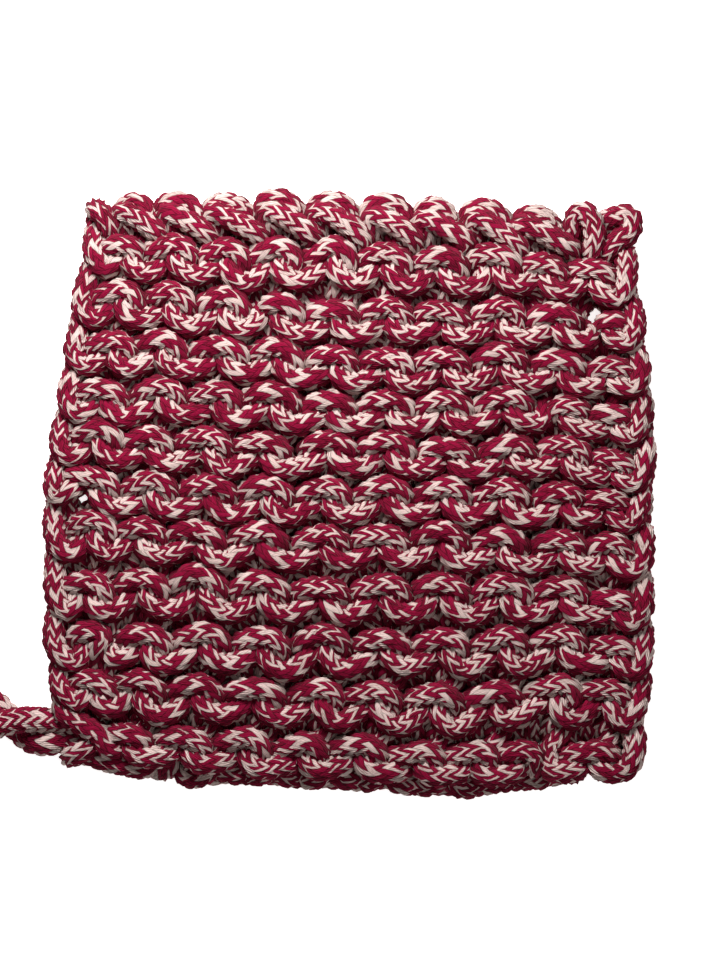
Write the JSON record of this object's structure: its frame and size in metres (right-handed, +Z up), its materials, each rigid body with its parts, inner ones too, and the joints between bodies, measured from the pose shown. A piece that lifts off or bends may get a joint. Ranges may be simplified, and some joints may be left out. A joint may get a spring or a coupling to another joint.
{
  "type": "knitted pot holder",
  "caption": "Square pot holder knitted in garter stitch from thick braided cotton cord, with a cord hanging loop at one corner, lying flat.",
  "frame": {"origin": "middle of the knitted square's footprint, on the surface that it lies on", "axes": "+Z up out of the front face, +Y towards the cast-off edge, +X to the right as seen from the front; the hanging loop leaves the corner at -X, -Y"},
  "size_m": [0.2523, 0.196, 0.019],
  "materials": {
    "marled_cotton_cord": "matt braided cotton, crimson and cream"
  },
  "bodies": {
    "root": {"knitted_square": "marled_cotton_cord", "hanging_loop": "marled_cotton_cord"}
  },
  "joints": []
}
